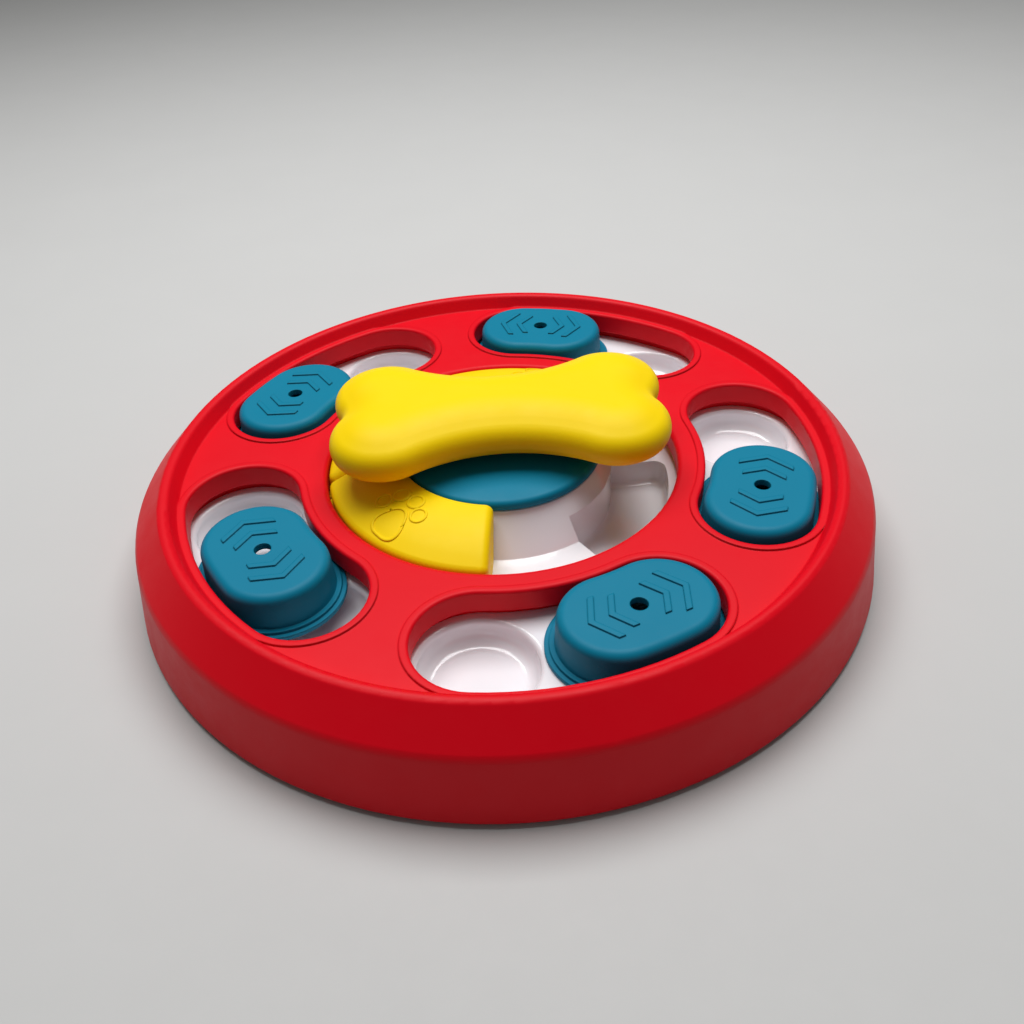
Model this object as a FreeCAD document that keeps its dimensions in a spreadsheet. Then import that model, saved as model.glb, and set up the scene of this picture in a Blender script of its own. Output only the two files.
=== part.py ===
import FreeCAD, Part
import math
import os
import Sketcher

# Dog puzzle feeder: a round snack board with five sliding lids in kidney slots, three
# sliding covers round the middle and a bone that spins on the centre.
# The origin is on the floor below the spin axis. The outer diameter is 250 mm.

Vec = FreeCAD.Vector
Rule = Sketcher.Constraint
UP = Vec(0, 0, 1)

doc = FreeCAD.newDocument("puzzle_feeder")
sheet = doc.addObject("Spreadsheet::Sheet", "Sizes")

# Sizes in millimetres and degrees. Every height is measured from the floor.
DRIVING = [
    ("foot_height", 2.0),
    ("foot_recess", 1.0),
    ("foot_r", 5.5),
    ("foot_wall", 1.6),
    ("foot_ring_r", 106.0),
    ("shell_wall", 2.5),
    ("base_r", 125.0),
    ("break_r", 121.8),
    ("break_z", 23.7),
    ("crest_out_r", 111.9),
    ("crest_in_r", 109.3),
    ("crest_z", 34.3),
    ("groove_r", 106.8),
    ("deck_z", 29.4),
    ("break_round", 4.0),
    ("crest_round", 1.8),
    ("opening_r", 59.0),
    ("opening_round", 1.6),
    ("guide_drop", 6.9),
    ("guide_wall", 2.2),
    ("rebate_width", 2.9),
    ("slot_count", 5),
    ("slot_first", -78.3),
    ("slot_mid", 86.3),
    ("slot_half", 18.3),
    ("slot_sweep", 17.93),
    ("slot_round", 1.0),
    ("bead_width", 2.6),
    ("bead_height", 0.6),
    ("land_z", 19.0),
    ("tray_wall", 2.2),
    ("tray_r", 117.5),
    ("well_r", 17.6),
    ("well_depth", 7.7),
    ("well_rim_round", 1.6),
    ("well_floor_round", 5.0),
    ("cone_foot_r", 42.0),
    ("turret_r", 33.2),
    ("turret_z", 31.4),
    ("pocket_in_r", 37.0),
    ("pocket_out_r", 56.5),
    ("pocket_half", 31.5),
    ("pocket_first", -25.0),
    ("pocket_depth", 9.0),
    ("pocket_corner", 4.0),
    ("pocket_floor_round", 2.0),
    ("cover_count", 3),
    ("cover_sweep", 76.0),
    ("cover_first", -133.5),
    ("cover_step", -77.0),
    ("cover_gap", 0.7),
    ("cover_in_r", 34.9),
    ("cover_foot_gap", 1.2),
    ("cover_top_z", 35.4),
    ("cover_shoulder_z", 28.8),
    ("cover_crown_r", 46.0),
    ("cover_round", 2.6),
    ("cover_end_round", 2.6),
    ("cover_wall", 2.2),
    ("flange_gap", 0.8),
    ("flange_thick", 2.3),
    ("seat_gap", 0.05),
    ("slider_sweep", 4.7),
    ("rest_1", 12.9),
    ("rest_2", -12.9),
    ("rest_3", 12.2),
    ("rest_4", 12.9),
    ("rest_5", 2.6),
    ("slider_side_gap", 1.0),
    ("slider_top_z", 32.5),
    ("slider_round", 2.8),
    ("slider_wall", 2.2),
    ("slider_flange", 2.8),
    ("slider_step", 1.4),
    ("slider_step_height", 1.4),
    ("slider_hole_r", 2.6),
    ("slider_draft", 3.5),
    ("outer_tip", 16.2),
    ("outer_span", 8.6),
    ("inner_tip", 9.7),
    ("inner_span", 6.8),
    ("chevron_rise", 4.6),
    ("chevron_width", 2.0),
    ("chevron_height", 0.5),
    ("hub_r", 33.8),
    ("hub_rim", 0.9),
    ("hub_crest_r", 22.0),
    ("hub_top_z", 36.2),
    ("hub_shoulder_r", 20.0),
    ("stud_r", 4.0),
    ("stud_reach", 10.0),
    ("stud_z", 37.9),
    ("spindle_r", 6.0),
    ("post_wall", 3.0),
    ("post_z", 8.0),
    ("washer_r", 8.6),
    ("washer_thick", 1.2),
    ("screw_r", 1.5),
    ("screw_head_r", 3.1),
    ("screw_head", 2.1),
    ("screw_gap", 0.1),
    ("spindle_screw_length", 14.0),
    ("cover_screw_length", 7.6),
    ("cover_screw_ring_r", 96.0),
    ("screw_boss_r", 4.0),
    ("bone_screw_length", 13.0),
    ("bone_screw_reach", 9.0),
    ("bone_z", 36.8),
    ("bone_thick", 18.4),
    ("bone_lobe_x", 37.1),
    ("bone_lobe_y", 11.7),
    ("bone_lobe_r", 17.4),
    ("bone_waist", 18.2),
    ("bone_notch_r", 6.0),
    ("bone_slope_out", 10.2),
    ("bone_slope_down", 5.4),
    ("bone_side_round", 6.2),
    ("bone_face_round", 20.0),
    ("bone_turn", 1.25),
]

# Sizes that follow from the ones above.
DERIVED = [
    ("skirt_z", "foot_height"),
    ("deck_under", "deck_z - shell_wall"),
    ("guide_z", "deck_z - guide_drop"),
    ("rebate_r", "opening_r + rebate_width + 0.4"),
    ("ring_guide_r", "rebate_r + guide_wall"),
    ("rim_in_r", "groove_r + 0.7 * shell_wall"),
    ("crest_under_z", "crest_z - 1.1 * shell_wall"),
    ("crest_under_r", "crest_in_r + 0.55 * shell_wall"),
    ("break_in_r", "break_r - 1.1 * shell_wall"),
    ("break_in_z", "break_z - 0.4 * shell_wall"),
    ("base_in_r", "base_r - shell_wall"),
    ("slot_end_x", "slot_mid * cos(slot_sweep * 1 deg)"),
    ("slot_end_y", "slot_mid * sin(slot_sweep * 1 deg)"),
    ("rebate_half", "slot_half + rebate_width"),
    ("slot_guide_half", "rebate_half + guide_wall"),
    ("bead_half", "slot_half + bead_width"),
    ("land_under", "land_z - tray_wall"),
    ("tray_in_r", "tray_r - tray_wall"),
    ("cone_in_r", "cone_foot_r - 1.2 * tray_wall"),
    ("turret_in_r", "turret_r - 1.2 * tray_wall"),
    ("turret_under", "turret_z - tray_wall"),
    ("bore_r", "spindle_r + seat_gap"),
    ("post_r", "bore_r + post_wall"),
    ("well_floor", "land_z - well_depth"),
    ("cup_r", "well_r + tray_wall"),
    ("cup_z", "well_floor - tray_wall"),
    ("pocket_floor", "land_z - pocket_depth"),
    ("box_in_r", "pocket_in_r - tray_wall"),
    ("box_out_r", "pocket_out_r + tray_wall"),
    ("box_half", "pocket_half + tray_wall / pocket_in_r * 57.3"),
    ("box_z", "pocket_floor - tray_wall"),
    ("run_z", "land_z + seat_gap"),
    ("cover_foot_r", "cone_foot_r + cover_foot_gap"),
    ("cover_r", "opening_r - cover_gap"),
    ("cover_flange_r", "rebate_r - flange_gap"),
    ("cover_flange_z", "run_z + flange_thick"),
    ("cone_lean", "(cone_foot_r - turret_r) / (turret_z - land_z)"),
    ("cover_lip_z", "run_z + (cover_foot_r - cover_in_r) / cone_lean"),
    ("hollow_foot_r", "cover_foot_r + 1.25 * cover_wall"),
    ("hollow_out_r", "cover_r - cover_wall"),
    ("hollow_in_r", "cover_in_r + 1.6 * cover_wall"),
    ("hollow_top_z", "cover_top_z - 1.5 * cover_wall"),
    ("hollow_shoulder_z", "cover_shoulder_z - 1.1 * cover_wall"),
    ("hollow_lip_z", "run_z + (hollow_foot_r - hollow_in_r) / cone_lean"),
    ("hollow_sweep", "cover_sweep - 2 * cover_wall / cover_foot_r * 57.3"),
    ("slider_end_x", "slot_mid * cos(slider_sweep * 1 deg)"),
    ("slider_end_y", "slot_mid * sin(slider_sweep * 1 deg)"),
    ("cap_half", "slot_half - slider_side_gap"),
    ("step_half", "cap_half + slider_flange - slider_step"),
    ("flange_half", "cap_half + slider_flange"),
    ("cap_in_half", "cap_half - slider_wall"),
    ("cap_under", "slider_top_z - slider_wall"),
    ("step_z", "run_z + slider_step_height"),
    ("slider_flange_z", "run_z + flange_thick"),
    ("hub_z", "turret_z + seat_gap"),
    ("hub_edge_z", "hub_z + hub_rim"),
    ("spindle_z", "post_z - seat_gap"),
    ("pilot_r", "screw_r + screw_gap"),
    ("head_hole_r", "screw_head_r + screw_gap"),
    ("washer_z", "spindle_z - washer_thick"),
    ("recess_r", "foot_r + screw_gap"),
    ("socket_r", "recess_r + foot_wall"),
    ("wedge_z", "land_z + (cone_foot_r - box_in_r) * (turret_z - land_z) / (cone_foot_r - turret_r)"),
    ("slot_turn", "slot_first - pocket_first"),
    ("outer_far", "slot_mid + outer_span"),
    ("outer_near", "slot_mid - outer_span"),
    ("outer_inside", "outer_tip - chevron_width"),
    ("outer_arm", "outer_tip - chevron_rise"),
    ("outer_arm_end", "outer_arm - chevron_width"),
    ("inner_far", "slot_mid + inner_span"),
    ("inner_near", "slot_mid - inner_span"),
    ("inner_inside", "inner_tip - chevron_width"),
    ("inner_arm", "inner_tip - chevron_rise * inner_span / outer_span"),
    ("inner_arm_end", "inner_arm - chevron_width"),
    ("chevron_z", "slider_top_z + chevron_height"),
    ("waist_drop", "bone_waist - bone_lobe_y"),
    ("bone_waist_r", "(bone_lobe_x * bone_lobe_x + waist_drop * waist_drop"
                     " - bone_lobe_r * bone_lobe_r) / (2 * (bone_lobe_r - waist_drop))"),
    ("stud_hole_r", "stud_r + screw_gap"),
    ("bone_head_z", "hub_z + screw_head"),
    ("cover_head_z", "land_under - screw_head"),
    ("hub_head_z", "washer_z - screw_head"),
]

for row, (alias, value) in enumerate(DRIVING, start=1):
    sheet.set("A%d" % row, alias)
    sheet.set("B%d" % row, str(value))
    sheet.setAlias("B%d" % row, alias)
for row, (alias, formula) in enumerate(DERIVED, start=1):
    sheet.set("D%d" % row, alias)
    sheet.set("E%d" % row, "=" + formula)
    sheet.setAlias("E%d" % row, alias)
doc.recompute()


def size(alias):
    return float(sheet.get(alias))


def count(alias):
    return int(round(size(alias)))


def bind(thing, prop, formula):
    thing.setExpression(prop, formula)


def new_body(name):
    body = doc.addObject("PartDesign::Body", name)
    body.Label = name
    return body


def origin_part(body, role):
    return next(f for f in body.Origin.OriginFeatures if f.Role == role)


def new_sketch(body, name, role="XY_Plane", height=None):
    sketch = body.newObject("Sketcher::SketchObject", name)
    sketch.AttachmentSupport = (origin_part(body, role), [""])
    sketch.MapMode = "FlatFace"
    if height:
        bind(sketch, "AttachmentOffset.Base.z", "Sizes." + height)
    return sketch


def tie(sketch, kind, args, alias):
    # Adds one dimension to a sketch and binds it to a size.
    index = sketch.addConstraint(Rule(kind, *args, size(alias)))
    bind(sketch, "Constraints[%d]" % index, "Sizes." + alias)


def closed_line(sketch, corners, arcs=None):
    # A closed outline. Each corner is a pair of sizes, across and up, where None means on the
    # upright axis. arcs maps the number of a side to its radius.
    points = [Vec(size(x) if x else 0, size(y), 0) for x, y in corners]
    sides = []
    for i, start in enumerate(points):
        end = points[(i + 1) % len(points)]
        if arcs and i in arcs:
            sides.append(bulged_side(sketch, start, end, size(arcs[i])))
        else:
            sides.append((sketch.addGeometry(Part.LineSegment(start, end), False), 1, 2))
    for i, (side, first, last) in enumerate(sides):
        following = sides[(i + 1) % len(sides)]
        sketch.addConstraint(Rule("Coincident", side, last, following[0], following[1]))
        if corners[i][0]:
            tie(sketch, "DistanceX", (-1, 1, side, first), corners[i][0])
        else:
            sketch.addConstraint(Rule("PointOnObject", side, first, -2))
        tie(sketch, "DistanceY", (-1, 1, side, first), corners[i][1])
        if arcs and i in arcs:
            tie(sketch, "Radius", (side,), arcs[i])


def profile_sketch(body, name, corners, arcs=None):
    # A closed half section in the XZ plane, with radius and height for each corner.
    sketch = new_sketch(body, name, "XZ_Plane")
    closed_line(sketch, corners, arcs)
    return sketch


def bulged_side(sketch, start, end, radius):
    # An arc from start to end that bulges upwards.
    middle = (start + end) * 0.5
    chord = end - start
    rise = math.sqrt(radius ** 2 - (chord.Length / 2) ** 2)
    normal = Vec(-chord.y, chord.x, 0).normalize()
    if normal.y < 0:
        normal = normal * -1
    centre = middle - normal * rise
    turn_start = math.atan2(start.y - centre.y, start.x - centre.x)
    turn_end = math.atan2(end.y - centre.y, end.x - centre.x)
    circle = Part.Circle(centre, UP, radius)
    if turn_end > turn_start:
        return (sketch.addGeometry(Part.ArcOfCircle(circle, turn_start, turn_end), False), 1, 2)
    return (sketch.addGeometry(Part.ArcOfCircle(circle, turn_end, turn_start), False), 2, 1)


def kidney_sketch(body, name, height, half, end_x, end_y):
    # A curved slot round the spin axis, with round ends, centred on +X.
    sketch = new_sketch(body, name, "XY_Plane", height)
    wide = size(half)
    middle = math.hypot(size(end_x), size(end_y))
    turn = math.atan2(size(end_y), size(end_x))
    centre = Vec(0, 0, 0)
    top = Vec(size(end_x), size(end_y), 0)
    low = Vec(size(end_x), -size(end_y), 0)
    outer = sketch.addGeometry(arc_of(centre, middle + wide, -turn, turn), False)
    inner = sketch.addGeometry(arc_of(centre, middle - wide, -turn, turn), False)
    end_up = sketch.addGeometry(arc_of(top, wide, turn, turn + math.pi), False)
    end_low = sketch.addGeometry(arc_of(low, wide, math.pi - turn, 2 * math.pi - turn), False)
    sketch.addConstraint(Rule("Coincident", outer, 3, -1, 1))
    sketch.addConstraint(Rule("Coincident", inner, 3, -1, 1))
    sketch.addConstraint(Rule("Tangent", outer, 2, end_up, 1))
    sketch.addConstraint(Rule("Tangent", end_up, 2, inner, 2))
    sketch.addConstraint(Rule("Tangent", inner, 1, end_low, 1))
    sketch.addConstraint(Rule("Tangent", end_low, 2, outer, 1))
    tie(sketch, "Radius", (end_up,), half)
    tie(sketch, "DistanceX", (-1, 1, end_up, 3), end_x)
    tie(sketch, "DistanceY", (-1, 1, end_up, 3), end_y)
    tie(sketch, "DistanceY", (end_low, 3, -1, 1), end_y)
    return sketch


def arc_of(centre, radius, start, end):
    return Part.ArcOfCircle(Part.Circle(centre, UP, radius), start, end)


def sector_sketch(body, name, height, inner_r, outer_r, half):
    # A slice of a ring round the spin axis, centred on +X.
    sketch = new_sketch(body, name, "XY_Plane", height)
    turn = math.radians(size(half))
    centre = Vec(0, 0, 0)
    outer = sketch.addGeometry(arc_of(centre, size(outer_r), -turn, turn), False)
    inner = sketch.addGeometry(arc_of(centre, size(inner_r), -turn, turn), False)
    ends = []
    for sign in (1, -1):
        way = Vec(math.cos(turn), sign * math.sin(turn), 0)
        line = Part.LineSegment(way * size(outer_r), way * size(inner_r))
        ends.append(sketch.addGeometry(line, False))
    for curve in (outer, inner):
        sketch.addConstraint(Rule("Coincident", curve, 3, -1, 1))
    for line, tip in zip(ends, (2, 1)):
        sketch.addConstraint(Rule("Coincident", outer, tip, line, 1))
        sketch.addConstraint(Rule("Coincident", inner, tip, line, 2))
        sketch.addConstraint(Rule("PointOnObject", -1, 1, line))
    tie(sketch, "Radius", (outer,), outer_r)
    tie(sketch, "Radius", (inner,), inner_r)
    sketch.addConstraint(Rule("Symmetric", outer, 1, outer, 2, -1))
    index = sketch.addConstraint(Rule("Angle", ends[1], 2, ends[0], 2, 2 * turn))
    bind(sketch, "Constraints[%d]" % index, "2 * Sizes.%s * 1 deg" % half)
    return sketch


def disc_sketch(body, name, height, radius, spots):
    # Circles of one radius. Each spot is a distance from the axis and an angle, as formulas.
    sketch = new_sketch(body, name, "XY_Plane", height)
    for reach, angle in spots:
        index = sketch.addGeometry(Part.Circle(Vec(10, 10, 0), UP, size(radius)), False)
        tie(sketch, "Radius", (index,), radius)
        for kind, trig in (("DistanceX", "cos"), ("DistanceY", "sin")):
            rule = sketch.addConstraint(Rule(kind, -1, 1, index, 3, 10.0))
            formula = "%s * %s((%s) * 1 deg)" % (reach, trig, angle)
            bind(sketch, "Constraints[%d]" % rule, formula)
    return sketch


def revolve(body, name, sketch, kind="PartDesign::Revolution", angle=None):
    feature = body.newObject(kind, name)
    feature.Profile = sketch
    feature.ReferenceAxis = (sketch, ["V_Axis"])
    feature.Angle = 360
    if angle:
        feature.Midplane = True
        bind(feature, "Angle", angle)
    sketch.Visibility = False
    return feature


def pad(body, name, sketch, length, taper=None):
    feature = body.newObject("PartDesign::Pad", name)
    feature.Profile = sketch
    bind(feature, "Length", length)
    if taper:
        feature.TaperAngle = taper
    return feature


def pocket(body, name, sketch, length, upward=False):
    feature = body.newObject("PartDesign::Pocket", name)
    feature.Profile = sketch
    bind(feature, "Length", length)
    feature.Reversed = upward
    return feature


def around(body, name, originals, copies):
    pattern = body.newObject("PartDesign::PolarPattern", name)
    pattern.Originals = originals
    pattern.Axis = (origin_part(body, "Z_Axis"), [""])
    pattern.Angle = 360
    bind(pattern, "Occurrences", "Sizes." + copies)
    body.Tip = pattern
    doc.recompute()
    return pattern


def round_edges(body, name, radius, wanted):
    # Rounds the edges of the body's latest shape that the test picks out.
    doc.recompute()
    base = body.Tip
    names = []
    for i, edge in enumerate(base.Shape.Edges, start=1):
        if wanted(edge):
            names.append("Edge%d" % i)
    if not names:
        raise RuntimeError("%s: no edge to round" % name)
    feature = body.newObject("PartDesign::Fillet", name)
    feature.Base = (base, names)
    bind(feature, "Radius", "Sizes." + radius)
    doc.recompute()
    return feature


def flat_at(edge, height):
    box = edge.BoundBox
    return abs(box.ZMin - height) < 0.01 and abs(box.ZMax - height) < 0.01


def ring_at(edge, radius, height):
    # True for an edge that runs round the spin axis at this radius and height.
    if not flat_at(edge, height):
        return False
    middle = edge.valueAt((edge.FirstParameter + edge.LastParameter) / 2)
    return abs(math.hypot(middle.x, middle.y) - radius) < 0.02 and is_round(edge, radius)


def is_round(edge, radius):
    return hasattr(edge.Curve, "Radius") and abs(edge.Curve.Radius - radius) < 0.02


def reach(edge):
    # Distance of an edge's middle from the spin axis.
    middle = edge.valueAt((edge.FirstParameter + edge.LastParameter) / 2)
    return math.hypot(middle.x, middle.y)


def upright(edge):
    box = edge.BoundBox
    return box.XLength < 0.01 and box.YLength < 0.01


def turn_body(body, formula):
    body.Placement = FreeCAD.Placement(Vec(0, 0, 0), FreeCAD.Rotation(UP, 1))
    bind(body, "Placement.Rotation.Angle", formula)


def slot_angle(number):
    # The direction of slot number 0 to 4, as a formula.
    return "Sizes.slot_first + %d * 360 / Sizes.slot_count" % number


# The red top cover. One shell: skirt, sloping rim, flat deck, the middle opening and five
# kidney slots, each with a hanging wall and a rebate below it that lets a flange run.
def make_top_cover():
    body = new_body("top_cover")
    section = profile_sketch(body, "cover_section", [
        ("base_r", "skirt_z"), ("break_r", "break_z"), ("crest_out_r", "crest_z"),
        ("crest_in_r", "crest_z"), ("groove_r", "deck_z"), ("opening_r", "deck_z"),
        ("opening_r", "guide_z"), ("rebate_r", "guide_z"), ("rebate_r", "land_z"),
        ("ring_guide_r", "land_z"), ("ring_guide_r", "deck_under"),
        ("rim_in_r", "deck_under"), ("crest_under_r", "crest_under_z"),
        ("break_in_r", "break_in_z"), ("base_in_r", "skirt_z"),
    ])
    revolve(body, "cover_shell", section)
    round_edges(body, "break_rounding", "break_round",
                lambda e: ring_at(e, size("break_r"), size("break_z")))
    round_edges(body, "crest_rounding", "crest_round",
                lambda e: ring_at(e, size("crest_out_r"), size("crest_z"))
                or ring_at(e, size("crest_in_r"), size("crest_z")))
    round_edges(body, "opening_rounding", "opening_round",
                lambda e: ring_at(e, size("opening_r"), size("deck_z")))
    boss = pad(body, "screw_boss", disc_sketch(
        body, "boss_spots", "land_z", "screw_boss_r",
        [("Sizes.cover_screw_ring_r", "180 / Sizes.slot_count")]),
        "Sizes.deck_under - Sizes.land_z + 0.5")
    pilot = pocket(body, "screw_pilot", disc_sketch(
        body, "pilot_spots", "land_z", "pilot_r",
        [("Sizes.cover_screw_ring_r", "180 / Sizes.slot_count")]),
        "Sizes.cover_screw_length - Sizes.tray_wall + 0.5", upward=True)
    guide = pad(body, "slot_guide", kidney_sketch(
        body, "guide_outline", "land_z", "slot_guide_half", "slot_end_x", "slot_end_y"),
        "Sizes.deck_under - Sizes.land_z")
    bead = pad(body, "slot_bead", kidney_sketch(
        body, "bead_outline", "deck_under", "bead_half", "slot_end_x", "slot_end_y"),
        "Sizes.shell_wall + Sizes.bead_height")
    rebate = pocket(body, "slot_rebate", kidney_sketch(
        body, "rebate_outline", "land_z", "rebate_half", "slot_end_x", "slot_end_y"),
        "Sizes.guide_z - Sizes.land_z", upward=True)
    slot = pocket(body, "slot_cut", kidney_sketch(
        body, "slot_outline", "land_z", "slot_half", "slot_end_x", "slot_end_y"),
        "Sizes.crest_z - Sizes.land_z", upward=True)
    around(body, "slot_ring", [boss, pilot, guide, bead, rebate, slot], "slot_count")
    top = size("deck_z") + size("bead_height")
    near = size("slot_mid") - size("slot_half")
    far = size("slot_mid") + size("slot_half")
    round_edges(body, "slot_rounding", "slot_round",
                lambda e: flat_at(e, top) and (is_round(e, near) or is_round(e, far)
                                               or is_round(e, size("slot_half"))))
    turn_body(body, "Sizes.slot_first * 1 deg")
    return body


# Three deep pockets of the middle ring, each a box below the land with a wall up to the cone.
def add_pockets(body):
    wedge_line = profile_sketch(body, "wedge_section", [
        ("box_in_r", "land_under"), ("cone_foot_r", "land_under"),
        ("cone_foot_r", "land_z"), ("box_in_r", "wedge_z"),
    ])
    wedge = revolve(body, "pocket_wedge", wedge_line, angle="2 * Sizes.box_half * 1 deg")
    outline = sector_sketch(body, "box_outline", "box_z", "box_in_r", "box_out_r", "box_half")
    box = pad(body, "pocket_box", outline, "Sizes.land_z - Sizes.box_z")
    inside = sector_sketch(body, "pocket_outline", "pocket_floor", "pocket_in_r",
                           "pocket_out_r", "pocket_half")
    hollow = pocket(body, "pocket_cut", inside, "Sizes.turret_z - Sizes.pocket_floor",
                    upward=True)
    around(body, "pocket_ring", [wedge, box, hollow], "cover_count")
    edge_r = (size("pocket_in_r"), size("pocket_out_r"))
    round_edges(body, "pocket_corner_rounding", "pocket_corner",
                lambda e: upright(e) and abs(reach(e) - edge_r[1]) < 0.05)
    round_edges(body, "pocket_floor_rounding", "pocket_floor_round",
                lambda e: flat_at(e, size("pocket_floor"))
                and edge_r[0] - 0.1 < reach(e) < edge_r[1] + 0.1)


# The white tray below it: a land that the lids slide on, a round well at each end of every
# slot, a cone in the middle that carries the spinner, three deep pockets round the cone,
# and cups, a skirt and five foot sockets underneath.
def make_tray():
    body = new_body("tray")
    section = profile_sketch(body, "tray_section", [
        ("bore_r", "turret_z"), ("turret_r", "turret_z"), ("cone_foot_r", "land_z"),
        ("tray_r", "land_z"), ("tray_r", "skirt_z"), ("tray_in_r", "skirt_z"),
        ("tray_in_r", "land_under"), ("cone_in_r", "land_under"),
        ("turret_in_r", "turret_under"), ("post_r", "turret_under"), ("post_r", "post_z"),
        ("bore_r", "post_z"),
    ])
    revolve(body, "tray_shell", section)
    well_spots = [("Sizes.slot_mid", "Sizes.slot_turn + Sizes.slot_sweep"),
                  ("Sizes.slot_mid", "Sizes.slot_turn - Sizes.slot_sweep")]
    foot_spot = [("Sizes.foot_ring_r", "Sizes.slot_turn")]
    screw_spot = [("Sizes.cover_screw_ring_r", "Sizes.slot_turn + 180 / Sizes.slot_count")]
    cups = pad(body, "well_cups",
               disc_sketch(body, "cup_spots", "cup_z", "cup_r", well_spots),
               "Sizes.land_under - Sizes.cup_z + 0.5")
    wells = pocket(body, "wells",
                   disc_sketch(body, "well_circles", "land_z", "well_r", well_spots),
                   "Sizes.well_depth")
    socket = pad(body, "foot_socket",
                 disc_sketch(body, "socket_spot", "skirt_z", "socket_r", foot_spot),
                 "Sizes.land_under - Sizes.skirt_z + 0.5")
    recess = pocket(body, "foot_recess_cut",
                    disc_sketch(body, "recess_spot", "skirt_z", "foot_r", foot_spot),
                    "Sizes.foot_recess", upward=True)
    hole = pocket(body, "screw_holes",
                  disc_sketch(body, "hole_spot", "land_z", "pilot_r", screw_spot),
                  "Sizes.tray_wall + 0.5")
    around(body, "well_ring", [cups, wells, socket, recess, hole], "slot_count")
    add_pockets(body)
    round_edges(body, "well_floor_rounding", "well_floor_round",
                lambda e: flat_at(e, size("well_floor")) and is_round(e, size("well_r")))
    round_edges(body, "well_rim_rounding", "well_rim_round",
                lambda e: flat_at(e, size("land_z")) and is_round(e, size("well_r")))
    turn_body(body, "Sizes.pocket_first * 1 deg")
    return body


# One teal lid: a flange that runs under the red cover, a tall rounded cap with a finger
# hole, raised chevrons that point both ways along the slot, and a hollow below.
def make_slider(number, offset):
    body = new_body("slider_%d" % (number + 1))
    ends = ("slider_end_x", "slider_end_y")
    pad(body, "flange", kidney_sketch(body, "flange_outline", "run_z", "flange_half", *ends),
        "Sizes.slider_step_height")
    pad(body, "step", kidney_sketch(body, "step_outline", "run_z", "step_half", *ends),
        "Sizes.flange_thick")
    cap = pad(body, "cap", kidney_sketch(body, "cap_outline", "run_z", "cap_half", *ends),
              "Sizes.slider_top_z - Sizes.run_z")
    bind(cap, "TaperAngle", "-Sizes.slider_draft * 1 deg")
    round_edges(body, "cap_rounding", "slider_round",
                lambda e: flat_at(e, size("slider_top_z")))
    pocket(body, "hollow", kidney_sketch(body, "hollow_outline", "run_z", "cap_in_half", *ends),
           "Sizes.cap_under - Sizes.run_z", upward=True)
    chevrons = new_sketch(body, "chevron_outline", "XY_Plane", "cap_under")
    for which in ("outer", "inner"):
        closed_line(chevrons, [
            ("slot_mid", which + "_tip"), (which + "_near", which + "_arm"),
            (which + "_near", which + "_arm_end"), ("slot_mid", which + "_inside"),
            (which + "_far", which + "_arm_end"), (which + "_far", which + "_arm"),
        ])
    ribs = pad(body, "chevrons", chevrons, "Sizes.chevron_z - Sizes.cap_under")
    mirror = body.newObject("PartDesign::Mirrored", "chevron_pair")
    mirror.Originals = [ribs]
    mirror.MirrorPlane = (origin_part(body, "XZ_Plane"), [""])
    body.Tip = mirror
    doc.recompute()
    pocket(body, "finger_hole",
           disc_sketch(body, "hole_spot", "run_z", "slider_hole_r", [("Sizes.slot_mid", "0")]),
           "Sizes.slider_top_z", upward=True)
    turn_body(body, "(%s + Sizes.%s) * 1 deg" % (slot_angle(number), offset))
    return body


# One yellow cover of the middle ring: a domed hollow segment whose inner wall follows the
# cone, with a flange that runs under the rim of the opening.
def make_ring_cover(number):
    body = new_body("ring_cover_%d" % (number + 1))
    whole = "Sizes.cover_sweep * 1 deg"
    section = profile_sketch(body, "cover_section", [
        ("cover_foot_r", "run_z"), ("cover_r", "run_z"), ("cover_r", "cover_shoulder_z"),
        ("cover_in_r", "cover_top_z"), ("cover_in_r", "cover_lip_z"),
    ], {2: "cover_crown_r"})
    revolve(body, "segment", section, angle=whole)
    doc.recompute()
    round_edges(body, "shoulder_rounding", "cover_round",
                lambda e: ring_at(e, size("cover_r"), size("cover_shoulder_z")))
    round_edges(body, "end_rounding", "cover_end_round", cover_end_edge)
    rim = profile_sketch(body, "flange_section", [
        ("hollow_out_r", "run_z"), ("cover_flange_r", "run_z"),
        ("cover_flange_r", "cover_flange_z"), ("hollow_out_r", "cover_flange_z"),
    ])
    revolve(body, "flange", rim, angle=whole)
    inside = profile_sketch(body, "hollow_section", [
        ("hollow_foot_r", "run_z"), ("hollow_out_r", "run_z"),
        ("hollow_out_r", "hollow_shoulder_z"), ("hollow_in_r", "hollow_top_z"),
        ("hollow_in_r", "hollow_lip_z"),
    ], {2: "cover_crown_r"})
    revolve(body, "hollow", inside, "PartDesign::Groove", "Sizes.hollow_sweep * 1 deg")
    turn_body(body, "(Sizes.cover_first + %d * Sizes.cover_step) * 1 deg" % number)
    return body


def cover_end_edge(edge):
    # True for the edges of the two end faces, but not those on the underside.
    turn = math.radians(size("cover_sweep") / 2)
    for i in range(5):
        part = edge.FirstParameter + i / 4 * (edge.LastParameter - edge.FirstParameter)
        point = edge.valueAt(part)
        if abs(abs(math.atan2(point.y, point.x)) - turn) > 0.0005:
            return False
    return edge.BoundBox.ZMax > size("land_z") + 1 and reach(edge) > size("cover_foot_r")


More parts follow.
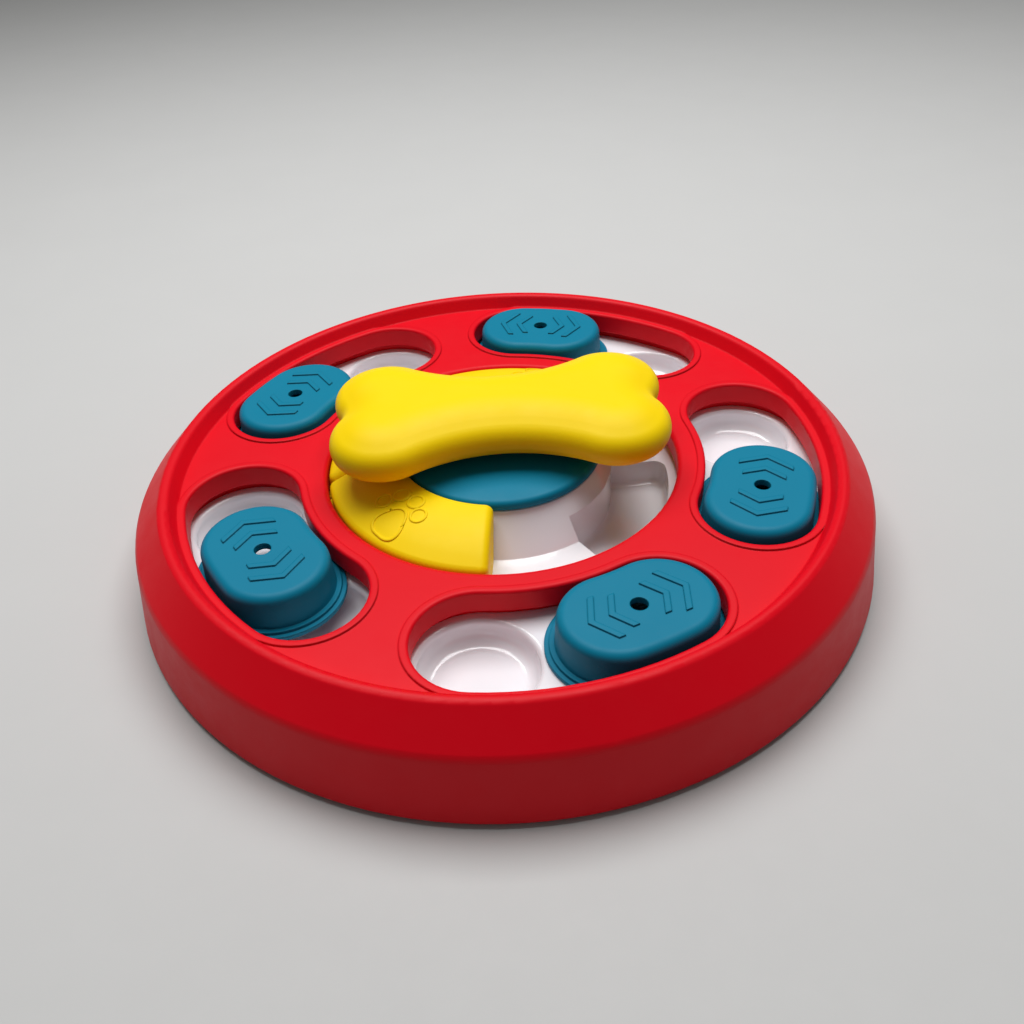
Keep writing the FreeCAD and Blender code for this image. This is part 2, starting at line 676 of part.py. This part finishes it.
# The teal spinner: a disc with a broad round shoulder on a spindle, two studs that locate the bone, a blind hole
# for the screw that holds it down, and two screw holes from beneath.
def make_hub():
    body = new_body("hub_disc")
    section = profile_sketch(body, "hub_section", [
        (None, "spindle_z"), ("spindle_r", "spindle_z"), ("spindle_r", "hub_z"),
        ("hub_r", "hub_z"), ("hub_r", "hub_edge_z"), ("hub_crest_r", "hub_top_z"),
        (None, "hub_top_z"),
    ], {4: "hub_shoulder_r"})
    revolve(body, "disc", section)
    studs = stud_spots()
    pad(body, "studs", disc_sketch(body, "stud_circles", "bone_head_z", "stud_r", studs),
        "Sizes.stud_z - Sizes.bone_head_z")
    pocket(body, "head_holes",
           disc_sketch(body, "head_circles", "hub_z", "head_hole_r", studs),
           "Sizes.screw_head", upward=True)
    pocket(body, "screw_holes",
           disc_sketch(body, "hole_circles", "hub_z", "pilot_r", studs),
           "Sizes.stud_z", upward=True)
    pocket(body, "spindle_hole",
           disc_sketch(body, "spindle_circle", "spindle_z", "pilot_r", [("0", "0")]),
           "Sizes.spindle_screw_length", upward=True)
    turn_body(body, "Sizes.bone_turn * 1 deg")
    return body


def stud_spots():
    return [("Sizes.stud_reach", "0"), ("Sizes.stud_reach", "180")]


# The yellow bone: a plump outline of tangent arcs, sloped and rounded on both faces.
def make_bone():
    body = new_body("bone")
    pad(body, "blank", bone_sketch(body), "Sizes.bone_thick")
    low = size("bone_z")
    high = low + size("bone_thick")
    doc.recompute()
    blank = body.Tip
    names = ["Edge%d" % i for i, e in enumerate(blank.Shape.Edges, start=1)
             if flat_at(e, low) or flat_at(e, high)]
    slope = body.newObject("PartDesign::Chamfer", "slopes")
    slope.Base = (blank, names)
    slope.ChamferType = "Two distances"
    bind(slope, "Size", "Sizes.bone_slope_down")
    bind(slope, "Size2", "Sizes.bone_slope_out")
    doc.recompute()
    drop = size("bone_slope_down")
    round_edges(body, "side_rounding", "bone_side_round",
                lambda e: flat_at(e, low + drop) or flat_at(e, high - drop))
    round_edges(body, "face_rounding", "bone_face_round",
                lambda e: flat_at(e, low) or flat_at(e, high))
    studs = stud_spots()
    pocket(body, "stud_holes",
           disc_sketch(body, "stud_circles", "bone_z", "stud_hole_r", studs),
           "Sizes.stud_z - Sizes.bone_z", upward=True)
    pocket(body, "screw_holes",
           disc_sketch(body, "hole_circles", "bone_z", "pilot_r", studs),
           "Sizes.bone_screw_length", upward=True)
    turn_body(body, "Sizes.bone_turn * 1 deg")
    return body


def bone_sketch(body):
    sketch = new_sketch(body, "bone_outline", "XY_Plane", "bone_z")
    x = size("bone_lobe_x")
    y = size("bone_lobe_y")
    lobe = size("bone_lobe_r")
    waist = size("bone_waist_r")
    notch = size("bone_notch_r")
    waist_y = size("bone_waist") + waist
    notch_x = x + math.sqrt((lobe + notch) ** 2 - y ** 2)
    lean = math.atan2(waist_y - y, x)
    nose = math.atan2(y, notch_x - x)
    lobes = {}
    for sx, sy in ((1, 1), (-1, 1), (-1, -1), (1, -1)):
        turns = sorted((-nose, math.pi - lean))
        if sx < 0:
            turns = sorted(math.pi - t for t in turns)
        if sy < 0:
            turns = sorted(-t for t in turns)
        centre = Vec(sx * x, sy * y, 0)
        lobes[(sx, sy)] = sketch.addGeometry(arc_of(centre, lobe, *turns), False)
        for kind, sign, alias in (("DistanceX", sx, "bone_lobe_x"), ("DistanceY", sy, "bone_lobe_y")):
            ends = (-1, 1, lobes[(sx, sy)], 3) if sign > 0 else (lobes[(sx, sy)], 3, -1, 1)
            tie(sketch, kind, ends, alias)
        tie(sketch, "Radius", (lobes[(sx, sy)],), "bone_lobe_r")
    top = sketch.addGeometry(arc_of(Vec(0, waist_y, 0), waist, math.pi + lean, 2 * math.pi - lean))
    low = sketch.addGeometry(arc_of(Vec(0, -waist_y, 0), waist, lean, math.pi - lean))
    right = sketch.addGeometry(arc_of(Vec(notch_x, 0, 0), notch, math.pi - nose, math.pi + nose))
    left = sketch.addGeometry(arc_of(Vec(-notch_x, 0, 0), notch, -nose, nose))
    for curve, tip, corner, corner_tip in (
            (top, 1, (-1, 1), 1), (top, 2, (1, 1), 2), (low, 1, (1, -1), 1), (low, 2, (-1, -1), 2),
            (right, 1, (1, 1), 1), (right, 2, (1, -1), 2), (left, 1, (-1, -1), 1),
            (left, 2, (-1, 1), 2)):
        sketch.addConstraint(Rule("Tangent", curve, tip, lobes[corner], corner_tip))
    for curve, alias in ((top, "bone_waist_r"), (low, "bone_waist_r"),
                         (right, "bone_notch_r"), (left, "bone_notch_r")):
        tie(sketch, "Radius", (curve,), alias)
    return sketch


# Screws, washer and rubber feet.
def make_screws(name, spots, head, length, turn):
    body = new_body(name)
    body.AllowCompound = True
    pad(body, "heads", disc_sketch(body, "head_circles", head, "screw_head_r", spots),
        "Sizes.screw_head")
    pad(body, "shanks", disc_sketch(body, "shank_circles", head, "screw_r", spots),
        "Sizes.screw_head + Sizes.%s" % length)
    turn_body(body, turn)
    return body


def make_washer():
    body = new_body("hub_washer")
    pad(body, "disc", disc_sketch(body, "rim_circle", "washer_z", "washer_r", [("0", "0")]),
        "Sizes.washer_thick")
    pocket(body, "hole", disc_sketch(body, "hole_circle", "washer_z", "pilot_r", [("0", "0")]),
           "Sizes.washer_thick", upward=True)
    return body


def make_foot(number):
    body = new_body("foot_%d" % (number + 1))
    spot = [("Sizes.foot_ring_r", "0")]
    pad(body, "pad", disc_sketch(body, "pad_circle", None, "foot_r", spot),
        "Sizes.foot_height + Sizes.foot_recess")
    turn_body(body, "(%s) * 1 deg" % slot_angle(number))
    return body


parts = [make_top_cover(), make_tray()]
for number, offset in enumerate(
        ("rest_1", "rest_2", "rest_3", "rest_4", "rest_5")):
    parts.append(make_slider(number, offset))
for number in range(count("cover_count")):
    parts.append(make_ring_cover(number))
parts.append(make_hub())
parts.append(make_bone())
parts.append(make_washer())
parts.append(make_screws("hub_screw", [("0", "0")], "hub_head_z", "spindle_screw_length", "0 deg"))
parts.append(make_screws("bone_screws", stud_spots(), "hub_z", "bone_screw_length",
                         "Sizes.bone_turn * 1 deg"))
screw_ring = [("Sizes.cover_screw_ring_r", "%d * 360 / Sizes.slot_count + 180 / Sizes.slot_count" % n)
              for n in range(count("slot_count"))]
parts.append(make_screws("cover_screws", screw_ring, "cover_head_z", "cover_screw_length",
                         "Sizes.slot_first * 1 deg"))
for number in range(count("slot_count")):
    parts.append(make_foot(number))

doc.recompute()
for thing in doc.Objects:
    if "Invalid" in thing.State or "Error" in thing.State:
        raise RuntimeError("%s is not valid: %s" % (thing.Name, thing.State))
for part in parts:
    if part.Shape.isNull() or not part.Shape.isValid():
        raise RuntimeError("%s has no valid shape" % part.Label)

os.makedirs("parts", exist_ok=True)
for part in parts:
    part.Shape.exportStep("parts/%s.step" % part.Label)
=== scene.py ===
import math

import bpy
from mathutils import Matrix, Vector


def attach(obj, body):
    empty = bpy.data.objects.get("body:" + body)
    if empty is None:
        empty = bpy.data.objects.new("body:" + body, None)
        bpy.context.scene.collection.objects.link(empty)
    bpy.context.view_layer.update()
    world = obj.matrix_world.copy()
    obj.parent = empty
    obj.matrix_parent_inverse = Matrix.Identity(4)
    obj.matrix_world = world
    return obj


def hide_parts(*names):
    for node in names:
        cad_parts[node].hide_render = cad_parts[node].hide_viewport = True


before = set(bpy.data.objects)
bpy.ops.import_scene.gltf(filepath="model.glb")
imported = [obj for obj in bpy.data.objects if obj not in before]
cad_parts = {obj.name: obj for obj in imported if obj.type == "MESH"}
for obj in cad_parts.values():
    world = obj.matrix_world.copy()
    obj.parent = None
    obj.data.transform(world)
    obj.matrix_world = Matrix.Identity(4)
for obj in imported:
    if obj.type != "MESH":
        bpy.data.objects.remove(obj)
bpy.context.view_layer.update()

# The red top cover is moulded in one piece with a fine satin grain. Its edges are eased by
# about a millimetre, and the plastic drifts slowly in tone and is rubbed in a few spots.
def srgb(hex_code):
    channels = [int(hex_code[i:i + 2], 16) / 255 for i in (0, 2, 4)]
    linear = [c / 12.92 if c <= 0.04045 else ((c + 0.055) / 1.055) ** 2.4 for c in channels]
    return (*linear, 1.0)


def add(tree, kind, settings=None, links=None):
    # One node, with its settings and the outputs that its inputs read.
    node = tree.nodes.new(kind)
    for key, value in (settings or {}).items():
        if isinstance(key, int) or key in node.inputs:
            node.inputs[key].default_value = value
        else:
            setattr(node, key, value)
    for key, source in (links or {}).items():
        tree.links.new(source, node.inputs[key])
    return node


def plastic(name, colour, deeper, rough, ease=0.0, grain=0.05, shine=0.5, coat=0.0):
    material = bpy.data.materials.new(name)
    material.use_nodes = True
    tree = material.node_tree
    where = add(tree, "ShaderNodeTexCoord").outputs["Object"]
    drift = add(tree, "ShaderNodeTexNoise", {"Scale": 22.0, "Detail": 3.0}, {"Vector": where})
    fine = add(tree, "ShaderNodeTexNoise", {"Scale": 1800.0, "Detail": 2.0}, {"Vector": where})
    scuff = add(tree, "ShaderNodeTexNoise", {"Scale": 90.0, "Detail": 6.0, "Roughness": 0.7},
                {"Vector": where})
    tone = add(tree, "ShaderNodeMix", {"data_type": "RGBA", 6: srgb(colour), 7: srgb(deeper)},
               {0: drift.outputs["Fac"]})
    rubbed = add(tree, "ShaderNodeMapRange", {1: 0.35, 2: 0.7, 3: rough - 0.05, 4: rough + 0.06},
                 {0: scuff.outputs["Fac"]})
    bump = add(tree, "ShaderNodeBump", {"Strength": grain, "Distance": 0.0002},
               {"Height": fine.outputs["Fac"]})
    if ease:
        round_edge = add(tree, "ShaderNodeBevel", {"samples": 6, "Radius": ease})
        tree.links.new(round_edge.outputs[0], bump.inputs["Normal"])
    shader = tree.nodes["Principled BSDF"]
    tree.links.new(tone.outputs[2], shader.inputs["Base Color"])
    tree.links.new(rubbed.outputs[0], shader.inputs["Roughness"])
    tree.links.new(bump.outputs[0], shader.inputs["Normal"])
    shader.inputs["Specular IOR Level"].default_value = shine
    shader.inputs["Coat Weight"].default_value = coat
    shader.inputs["Coat Roughness"].default_value = 0.08
    return material


def dress(node, material):
    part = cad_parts[node]
    part.data.materials.clear()
    part.data.materials.append(material)
    return part


red = plastic("red_plastic", "E0001A", "D40015", 0.46, 0.0009, shine=0.16)
dress("top_cover", red)

# The white tray below it holds the food. It comes from a polished mould, so its wells and the
# cone in the middle take sharp highlights.
white = plastic("white_plastic", "EFEFF2", "E9E9EE", 0.16, 0.0006, 0.02, coat=0.6)
dress("tray", white)

# Five teal lids with raised chevrons and a small hole slide in the cover's slots. They are all
# of one moulding, in the same satin finish as the cover.
teal = plastic("teal_plastic", "007C9A", "007290", 0.5, 0.0007, shine=0.16)
for number in range(1, 6):
    dress("slider_%d" % number, teal)

# Three yellow covers slide round the cone. The first and the third carry a paw print in raised
# line, a rounded pad and four toes, which follows the dome of the cover.
yellow = plastic("yellow_plastic", "FAD800", "F4CE00", 0.48, 0.0006, shine=0.15)
for number in range(1, 4):
    dress("ring_cover_%d" % number, yellow)


def only(part):
    bpy.ops.object.select_all(action="DESELECT")
    part.select_set(True)
    bpy.context.view_layer.objects.active = part


def raised_line(name, middle, inner):
    # Lays a flat ring on the first cover's dome and gives it the thickness of a moulded line.
    part = bpy.context.active_object
    part.name = name
    bpy.ops.object.mode_set(mode="EDIT")
    bpy.ops.mesh.select_all(action="SELECT")
    bpy.ops.mesh.extrude_edges_move()
    bpy.ops.transform.resize(value=(inner, inner, 1), center_override=middle)
    bpy.ops.object.mode_set(mode="OBJECT")
    only(part)
    bpy.ops.object.transform_apply(location=True, rotation=True, scale=True)
    lay = part.modifiers.new("lay", "SHRINKWRAP")
    lay.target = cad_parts["ring_cover_1"]
    lay.wrap_method = "PROJECT"
    lay.use_project_z = True
    lay.use_negative_direction = True
    thick = part.modifiers.new("thick", "SOLIDIFY")
    thick.thickness = 0.0007
    thick.offset = 0.0
    soft = part.modifiers.new("soft", "BEVEL")
    soft.width = 0.0003
    soft.segments = 3
    for modifier in ("lay", "thick", "soft"):
        bpy.ops.object.modifier_apply(modifier=modifier)
    bpy.ops.object.shade_smooth_by_angle(angle=math.radians(40))
    part.data.materials.append(yellow)
    return part


def pad_outline(corner):
    # The circle of three points becomes a triangle with round corners.
    bpy.ops.object.mode_set(mode="EDIT")
    bpy.ops.mesh.select_all(action="SELECT")
    bpy.ops.mesh.bevel(affect="VERTICES", offset=corner, segments=16)
    bpy.ops.mesh.select_all(action="SELECT")
    bpy.ops.mesh.subdivide(number_cuts=1)
    bpy.ops.object.mode_set(mode="OBJECT")


# Each line of the print starts as a ring above the first cover: across, along and radius in
# millimetres, the pad first. A copy of it is turned about the spin axis to the third cover.
print_above = 0.038
print_heading = math.radians(-51)
third_cover = math.radians(-154)
pad = (-35.3, -36.9, 10.2)
toes = ((-37.4, -27.4, 3.0), (-31.8, -26.4, 3.1), (-27.2, -30.4, 3.1), (-26.3, -36.3, 3.0))
for number, (x, y, radius) in enumerate((pad, *toes)):
    is_pad = number == 0
    middle = Vector((x / 1000, y / 1000, print_above))
    bpy.ops.object.select_all(action="DESELECT")
    bpy.ops.mesh.primitive_circle_add(vertices=3 if is_pad else 36, radius=radius / 1000,
                                      location=middle, rotation=(0, 0, print_heading))
    if is_pad:
        pad_outline(0.0077)
    line = raised_line("paw_cover_1_%d" % number, middle, 0.85 if is_pad else 0.68)
    bpy.ops.object.duplicate(linked=False)
    twin = bpy.context.active_object
    twin.name = "paw_cover_3_%d" % number
    twin.rotation_euler.z = third_cover
    bpy.ops.object.transform_apply(location=False, rotation=True, scale=False)
    for piece, body in ((line, "cover_1"), (twin, "cover_3")):
        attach(piece, body)

# The spinner is a teal disc with an upright rim and a low dome, on a spindle, with a plump
# yellow bone fixed to it by two screws. The disc is drawn out ring by ring from its underside.
bpy.ops.object.select_all(action="DESELECT")
radius = 33.8
height = 31.45
bpy.ops.mesh.primitive_circle_add(vertices=160, radius=radius / 1000, fill_type="NGON",
                                  location=(0, 0, height / 1000))
disc = bpy.context.active_object
disc.name = "spinner_disc"
bpy.ops.object.mode_set(mode="EDIT")
bpy.ops.mesh.select_all(action="SELECT")
for ring, level in ((33.8, 35.1), (25.0, 36.1), (14.0, 36.25)):
    bpy.ops.mesh.extrude_region_move(
        TRANSFORM_OT_translate={"value": (0, 0, (level - height) / 1000)})
    bpy.ops.transform.resize(value=(ring / radius, ring / radius, 1),
                             center_override=(0, 0, level / 1000))
    radius = ring
    height = level
bpy.ops.object.mode_set(mode="OBJECT")
rim = disc.modifiers.new("rim", "BEVEL")
rim.width = 0.0017
rim.segments = 6
rim.angle_limit = math.radians(40)
bpy.ops.object.modifier_apply(modifier="rim")
bpy.ops.object.transform_apply(location=True, rotation=True, scale=True)
bpy.ops.object.shade_smooth_by_angle(angle=math.radians(40))
bpy.ops.object.select_all(action="DESELECT")
bpy.ops.mesh.primitive_cylinder_add(vertices=64, radius=0.006, depth=0.0235,
                                    location=(0, 0, 0.0197))
spindle = bpy.context.active_object
spindle.name = "spindle"
collar = spindle.modifiers.new("collar", "BEVEL")
collar.width = 0.0012
collar.segments = 4
bpy.ops.object.modifier_apply(modifier="collar")
bpy.ops.object.transform_apply(location=True, rotation=True, scale=True)
bpy.ops.object.shade_smooth_by_angle(angle=math.radians(40))
for piece in (disc, spindle):
    piece.data.materials.append(teal)
    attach(piece, "spinner")
    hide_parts("hub_disc")
dress("bone", yellow)

# The steel screws and the washer below are bright, with a slightly uneven polish, and five dark
# rubber feet are let into the tray's underside.
steel = plastic("screw_steel", "B8BABD", "A6A9AD", 0.34, 0.0002)
steel.node_tree.nodes["Principled BSDF"].inputs["Metallic"].default_value = 1.0
for name in ("hub_washer", "hub_screw", "bone_screws", "cover_screws"):
    dress(name, steel)
rubber = plastic("foot_rubber", "262628", "1E1E20", 0.75)
for number in range(1, 6):
    dress("foot_%d" % number, rubber)

# The board stands on a flat, pale grey sheet of paper, wide enough to fill the picture.
bpy.ops.object.select_all(action="DESELECT")
bpy.ops.mesh.primitive_plane_add(size=6, location=(0, 1.5, 0))
floor = bpy.context.active_object
floor.name = "floor"
paper = plastic("grey_paper", "C4C4C3", "C1C1C0", 0.8, 0.0)
floor.data.materials.append(paper)

# One camera, where the photo was taken from: near the object, looking a little more than 38
# degrees down and leaning slightly to one side. Places are in metres.
eye = Vector((0.00244, -0.27287, 0.22244))
tilt = math.radians(38.615)
lean = math.radians(-3.197)
right = Vector((1, 0, 0))
up = Vector((0, math.sin(tilt), math.cos(tilt)))
back = Vector((0, -math.cos(tilt), math.sin(tilt)))
across = math.cos(lean) * right + math.sin(lean) * up
upward = -math.sin(lean) * right + math.cos(lean) * up
camera_data = bpy.data.cameras.new("camera")
camera_data.lens = 34.66
camera_data.sensor_width = 36
camera_data.clip_start = 0.01
camera = bpy.data.objects.new("camera", camera_data)
bpy.context.scene.collection.objects.link(camera)
turned = Matrix((across, upward, back)).transposed().to_4x4()
camera.matrix_world = Matrix.Translation(eye) @ turned
bpy.context.scene.camera = camera

# Soft light as in a photo tent: a wide panel above and behind, and a bright cloth all round.
def panel(name, place, aim, sides, power):
    data = bpy.data.lights.new(name, "AREA")
    data.shape = "RECTANGLE"
    data.size, data.size_y = sides
    data.energy = power
    lamp = bpy.data.objects.new(name, data)
    bpy.context.scene.collection.objects.link(lamp)
    lamp.location = place
    lamp.rotation_euler = (Vector(aim) - Vector(place)).to_track_quat("-Z", "Y").to_euler()


panel("top_panel", (0, 0.24, 0.9), (0, 0, 0), (0.9, 0.6), 11)
world = bpy.data.worlds.new("tent")
world.use_nodes = True
bpy.context.scene.world = world
cloth = world.node_tree.nodes["Background"]
cloth.inputs["Color"].default_value = srgb("D8D8D6")
cloth.inputs["Strength"].default_value = 0.22
bpy.context.scene.view_settings.view_transform = "Standard"
